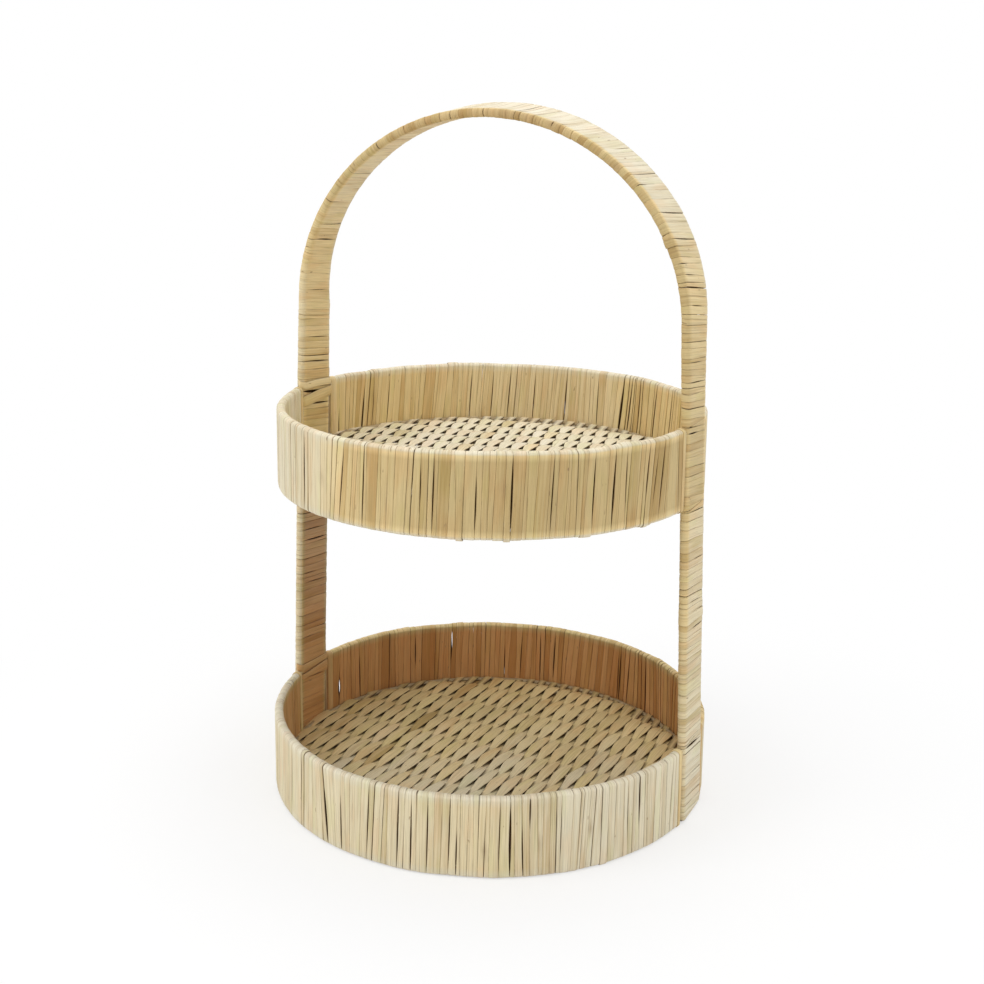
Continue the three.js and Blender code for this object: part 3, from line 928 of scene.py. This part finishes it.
handle_slits = [
    (43, 2.3, 0.4, 1.8), (50, 2.3, 0.45, 1.2), (76, 2.75, 0.3, 0.6), (118, 2.5, 0.4, 0.7),
    (127, 2.75, 0.3, 0.7), (151, 2.5, 0.5, 1.5), (159, 2.6, 0.45, 0.9), (252, 2.45, 0.5, 1.9),
    (262.6, 2.7, 0.4, 3.4), (282, 2.5, 0.45, 0.8), (300, 2.5, 0.45, 0.7), (334, 2.5, 0.4, 0.7),
    (370, 2.5, 0.42, 1.6), (563, 0.55, 0.4, 0.8), (588, 3.8, 0.35, 1.1), (628, 0.7, 0.3, 0.7),
    (656, 4.0, 0.35, 1.0), (680, 0.5, 0.6, 1.3), (697, 0.5, 0.7, 1.3), (711, 0.0, 0.3, 0.9),
    (719, 0.25, 0.25, 0.7), (727, 0.2, 0.4, 0.7), (739, 0.4, 0.3, 0.7), (774, 0.35, 0.4, 0.6),
    (787, 0.4, 0.45, 0.7), (818, 0.2, 0.35, 1.4), (868, 0.45, 0.7, 1.2), (904, 0.7, 0.3, 0.6),
    (931, 0.5, 0.4, 0.6), (950, 0.7, 0.4, 1.1), (1030, 0.42, 0.42, 2.8),
]
handle_lumps = [
    (698, 3.6, 4, 0.9), (694, 2.9, 4, 0.5), (944, 1.5, 7, 0.9), (937, 3.5, 10, 0.6),
    (320, 1.6, 5, 0.6), (50, 1.6, 8, 0.7), (264, 1.6, 8, 0.7), (845, 1.5, 25, 0.4),
    (1040, 1.5, 20, 0.5), (680, 1.3, 4, 0.4), (570, 1.2, 110, 1.9),
]
handle_stains = [(588, 3.8, 4, 0.4, 0.5), (560, 3.6, 16, 0.5, 0.3), (639, 3.6, 2.5, 0.4, 0.5)]
handle_loose = [(0, 0), (290, 0), (320, -0.07), (690, -0.07), (720, 0)]


def add_band(name, start, end, seed, replaced, extra=()):
    winding = Winding(
        handle, seed, start, end, handle_strip, handle_shares, handle_age_and_painted_light, None,
        handle_slits, handle_lumps, handle_stains, handle_loose, right_share,
    )
    piece = join_meshes(name, [winding.body(9, 5)] + list(extra))
    dress(piece, handle_peel, "handle_peel", replaced)


# Loose strips where the left leg passes each tray's rim: part and place at both ends, widths, lift, seed, age
# with painted light
lower_skeins = [
    skein(handle, ((3.6, 56), (1.3, 52.5)), (5, 5, 5, 5), 1.1, 51, 0.85),
    skein(handle, ((3.5, 49.3), (1.3, 44.8)), (3.5, 4.4, 8.2, 7), 1.4, 52, 0.9),
]
upper_skeins = [
    skein(handle, ((3.6, 268.4), (1.4, 264.6)), (4.5, 5, 5, 5, 4.5), 1.5, 54, 0.35),
    skein(handle, ((3.5, 255.8), (1.35, 258.8)), (6, 8, 8.2, 7, 5.5), 1.3, 53, 0.5),
]
far = handle.length
add_band("lower_left_joint_peel", 0, lower_joint, 21, "lower_left_lashing", lower_skeins)
add_band("left_leg_peel", lower_joint, upper_joint_low, 22, "left_leg_wrap")
add_band("upper_left_joint_peel", upper_joint_low, upper_joint_high, 23, "upper_left_lashing", upper_skeins)
add_band("handle_peel", upper_joint_high, far - upper_joint_high, 24, "handle_wrap")
add_band("upper_right_joint_peel", far - upper_joint_high, far - upper_joint_low, 25, "upper_right_lashing")
add_band("right_leg_peel", far - upper_joint_low, far - lower_joint, 26, "right_leg_wrap")
add_band("lower_right_joint_peel", far - lower_joint, far, 27, "lower_right_lashing")

# Floors
mat_edge_gap = -0.4 * MM  # the mat is pressed against the walls
hoop_radius = 1.2 * MM
end_reach = 8 * MM  # from a weaver's end, over which its end takes the wall's curve
weaver_rise = 1.35 * MM  # of a weaver's middle over or under the stakes' middle
over_width = 8.6 * MM
middle_width = 5.1 * MM
under_width = 7.4 * MM
end_run = 12 * MM  # from the last stake to the wall, for a full pass over or under the hoop
weaver_step = 1.5 * MM
least_weaver = 6 * MM  # half of the shortest weaver's length
stake_margin = 4 * MM  # between a weaver's end and the last stake that it crosses
pitch_spread = 0.16 * MM
width_step = 12 * MM  # between free values along a weaver
width_wander = 0.035  # of its width
sway_step = 30 * MM
sway_size = 0.22 * MM
tone_step = 25 * MM
tilt_size = 0.08 * MM
weaver_tint = 0.8
tint_wander = 0.3
age_spread = 0.05
cup_depth = 0.3 * MM  # of the edges below the middle over a stake, and above it under one
half_peel = 0.4 * MM
over_lift = 0.2 * MM
flat_power = 0.9  # less than 1 lengthens the level stretches
over_power = 1.5
under_power = 0.6
passing_reach = 0.5  # of the way up or down, where a weaver is between two stakes
# Painted shade on the weavers, where they dive under the stakes and where they pass between them
under_painted_shade = 0.9
deep_from = 0.6  # of the way down, where painted shade starts to darken the middle of an under pass
side_reach = 0.3  # of the way down, by which painted shade has fully darkened its sides
edge_painted_shade = 0.3
SIDE_PAINTED_SHADE = np.array([1, 1, 0.9, 0, 0.9, 1, 1, 1, 1])


def smooth_between(knots, values, places):
    """Values at places between knots, level at each knot"""
    low = np.clip(np.searchsorted(knots, places) - 1, 0, len(knots) - 2)
    share = np.clip((places - knots[low]) / (knots[low + 1] - knots[low]), 0, 1)
    return values[low] + (values[low + 1] - values[low]) * (1 - np.cos(math.pi * share)) / 2


def stake_places(tray, turn):
    """Where a tray's stakes cross its middle line, and the height of their middle"""
    places = []
    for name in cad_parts:
        if name.startswith(f"{tray}_floor_stake"):
            low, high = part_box(name)
            places.append((low.y + high.y) / 2 / math.cos(turn))
            height = (low.z + high.z) / 2
    return np.array(sorted(places)), height


class Mat:
    """Weavers along Y that pass over and under the stakes by turns, and over the hoop at their ends.

    Turn is the mat's angle in its tray, and age gives the peel's age at a place, with any painted shade."""

    def __init__(self, tray, radius, turn, pitch, seed, age_and_painted_light):
        self.rng = np.random.default_rng(seed)
        self.tray, self.turn, self.pitch, self.seed, self.age_and_painted_light = tray, turn, pitch, seed, age_and_painted_light
        self.reach = radius - band_thickness - mat_edge_gap
        self.stakes, self.height = stake_places(tray, turn)

    def wander(self, half, y, step, spread):
        return Wander(self.rng, 2 * half / step, spread)((y + half) / step)

    def passes(self, k, half, y):
        """Two lines from 1 over a stake to -1 under the next one.

        At a weaver's ends the first one goes on over or under the hoop, and the second one goes to 0."""
        inside = np.abs(self.stakes) < half - stake_margin
        over = np.where((np.arange(len(self.stakes)) + k) % 2 == 0, 1.0, -1.0)[inside]
        knots = np.concatenate([[-half], self.stakes[inside], [half]])
        ends = -over[[0, -1]] * np.clip(np.diff(knots)[[0, -1]] / end_run, 0, 1)
        wave = smooth_between(knots, np.concatenate([ends[:1], over, ends[1:]]), y)
        return wave, smooth_between(knots, np.concatenate([[0], over, [0]]), y)

    def points(self, across, y, half, height):
        """A weaver's points on the turned mat. Near its ends they take the wall's curve."""
        near_end = np.clip(1 - (half - np.abs(y)) / end_reach, 0, 1)[:, None]
        longer = np.sqrt(np.clip(self.reach**2 - across**2, 0, None)) - half
        along = np.sign(y)[:, None] * (np.abs(y)[:, None] + near_end * longer)
        turned_x = across * math.cos(self.turn) - along * math.sin(self.turn)
        turned_y = across * math.sin(self.turn) + along * math.cos(self.turn)
        return np.stack([turned_x, turned_y, height], -1)

    def weaver(self, k, x, half):
        """One weaver's body, the k-th from the middle one"""
        y = np.linspace(-half, half, max(8, round(2 * half / weaver_step)))
        wave, spread = self.passes(k, half, y)
        flat = np.sign(wave) * np.abs(wave) ** flat_power
        above = np.clip(spread, 0, 1) ** over_power
        below = np.clip(-spread, 0, 1)
        wider = (over_width - middle_width) * above + (under_width - middle_width) * below**under_power
        width = (middle_width + wider) * (1 + self.wander(half, y, width_step, width_wander))
        sway = self.wander(half, y, sway_step, sway_size)
        tilt = self.wander(half, y, tone_step, tilt_size)
        low, high = x + sway - width / 2, x + sway + width / 2
        cup = cup_depth * (above - below)
        fall = rounded(half - np.abs(y), hoop_radius)
        rise = self.height + weaver_rise * flat - fall + half_peel + over_lift * above
        height = rise[:, None] + DROP - cup[:, None] * SLOPE**2 + tilt[:, None] * SLOPE
        rings = self.points(across_strip(low, high), y, half, height)
        # Painted shade: dark in the middle and along the sides of an under pass, and at the edges where a
        # weaver passes between stakes
        passing = np.clip(1 - np.abs(spread) / passing_reach, 0, 1)[:, None]
        deep = np.clip((below - deep_from) / (1 - deep_from), 0, 1)[:, None]
        sides = np.clip(below / side_reach, 0, 1)[:, None] * SIDE_PAINTED_SHADE
        shade = PAINTED_SHADE + under_painted_shade * (deep + sides) + edge_painted_shade * passing * (LOW_EDGE + HIGH_EDGE)
        tint = self.rng.normal(0, weaver_tint) + self.wander(half, y, tone_step, tint_wander)
        age_and_painted_light = self.age_and_painted_light(x, y) + self.rng.normal(0, age_spread)
        return peel_body(rings, low, high, tint, age_and_painted_light, shade, 0, self.seed + weaver_key * k)

    def weavers(self):
        count = int(self.reach / self.pitch)
        for k in range(-count, count + 1):
            x = k * self.pitch + self.rng.normal(0, pitch_spread)
            half = math.sqrt(max(self.reach**2 - x**2, 0))
            if half >= least_weaver:
                yield self.weaver(k, x, half)


def lower_floor_age_and_painted_shade(x, y):
    """Browner towards the back and the left, partly browner peel and partly painted shade"""
    return np.clip(0.38 + 0.2 * np.clip((y - 0.5 * x) / (140 * MM), -0.4, 1.2), 0, 1)


for mat in (
    Mat("lower", tray_radius, math.radians(-2.7), 4.7 * MM, 31, lower_floor_age_and_painted_shade),
    Mat("upper", upper_radius, math.radians(2), 4.65 * MM, 32, lambda x, y: 0.15 + 0 * y),
):
    woven = join_meshes(f"{mat.tray}_woven_floor", list(mat.weavers()))
    dress(woven, floor_peel, "floor_peel", f"{mat.tray}_floor_mat")

# Nodes of the frame that stay
steel = steel_material()
cane = stake_material()
for name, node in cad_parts.items():
    is_cane = "stake" in name or "hoop" in name
    if is_cane or not node.hide_render:
        node.data.materials.clear()
        node.data.materials.append(cane if is_cane else steel)


# Floor, world and lamps
def seen_share(tree):
    """1 for what the camera sees, itself or in gloss and glass, and 0 for the light that falls on things"""
    path = tree.nodes.new("ShaderNodeLightPath")
    seen = math_node(tree, "MAXIMUM", path.outputs["Is Camera Ray"], path.outputs["Is Glossy Ray"])
    return math_node(tree, "MAXIMUM", seen, path.outputs["Is Transmission Ray"])


def mix_shaders(tree, share, first, second, output):
    mixed = tree.nodes.new("ShaderNodeMixShader")
    for value, socket in zip((share, first.outputs[0], second.outputs[0]), mixed.inputs):
        tree.links.new(value, socket)
    tree.links.new(mixed.outputs[0], output)


def add_stage():
    """A pale floor. It looks white where it is far from the tray and keeps the tray's shadow near it."""
    mesh = bpy.data.meshes.new("floor")
    reach = 8
    corners = [(-reach, -reach, 0), (reach, -reach, 0), (reach, reach, 0), (-reach, reach, 0)]
    mesh.from_pydata(corners, [], [(0, 1, 2, 3)])
    floor = linked("floor", mesh)
    material = bpy.data.materials.new("floor")
    tree, surface = empty_tree(material, "ShaderNodeOutputMaterial")
    diffuse = tree.nodes.new("ShaderNodeBsdfDiffuse")
    diffuse.inputs[0].default_value = (0.90, 0.90, 0.90, 1)
    glow = tree.nodes.new("ShaderNodeEmission")
    glow.inputs[0].default_value = (1, 1, 1, 1)
    glow.inputs[1].default_value = 1
    place = tree.nodes.new("ShaderNodeNewGeometry").outputs["Position"]
    length = tree.nodes.new("ShaderNodeVectorMath")
    length.operation = "LENGTH"
    tree.links.new(place, length.inputs[0])
    away = length.outputs["Value"]
    under = map_range(tree, away, 0.140, 0.151, 0.0, 0.6)
    clear = map_range(tree, away, 0.16, 0.45, 0.0, 0.4)
    share = math_node(tree, "MULTIPLY", seen_share(tree), math_node(tree, "ADD", under, clear))
    mix_shaders(tree, share, diffuse, glow, surface)
    mesh.materials.append(material)


def add_world():
    """White where it is seen, and dimmer as a light"""
    world = bpy.data.worlds.new("world")
    bpy.context.scene.world = world
    tree, surface = empty_tree(world, "ShaderNodeOutputWorld")
    shown = tree.nodes.new("ShaderNodeBackground")
    light = tree.nodes.new("ShaderNodeBackground")
    for node, strength in ((shown, 1), (light, 0.70)):
        node.inputs[0].default_value = (1, 1, 1, 1)
        node.inputs[1].default_value = strength
    mix_shaders(tree, seen_share(tree), light, shown, surface)


def add_lamp(name, place, size, power):
    lamp = bpy.data.lights.new(name, "AREA")
    lamp.shape = "DISK"
    lamp.size = size
    lamp.energy = power
    piece = linked(name, lamp)
    piece.location = place
    piece.rotation_euler = (lamp_aim - Vector(place)).to_track_quat("-Z", "Y").to_euler()


add_stage()
add_world()
lamp_aim = Vector((0, 0, 0.22))
add_lamp("key", (-1.5, -1.3, 1.6), 1.4, 14.5)
add_lamp("side", (1.6, -0.6, 1.4), 1.4, 4.6)
add_lamp("top", (0.1, 0.2, 2.2), 1.6, 16)

bpy.context.scene.view_settings.view_transform = "Standard"

bpy.context.view_layer.update()
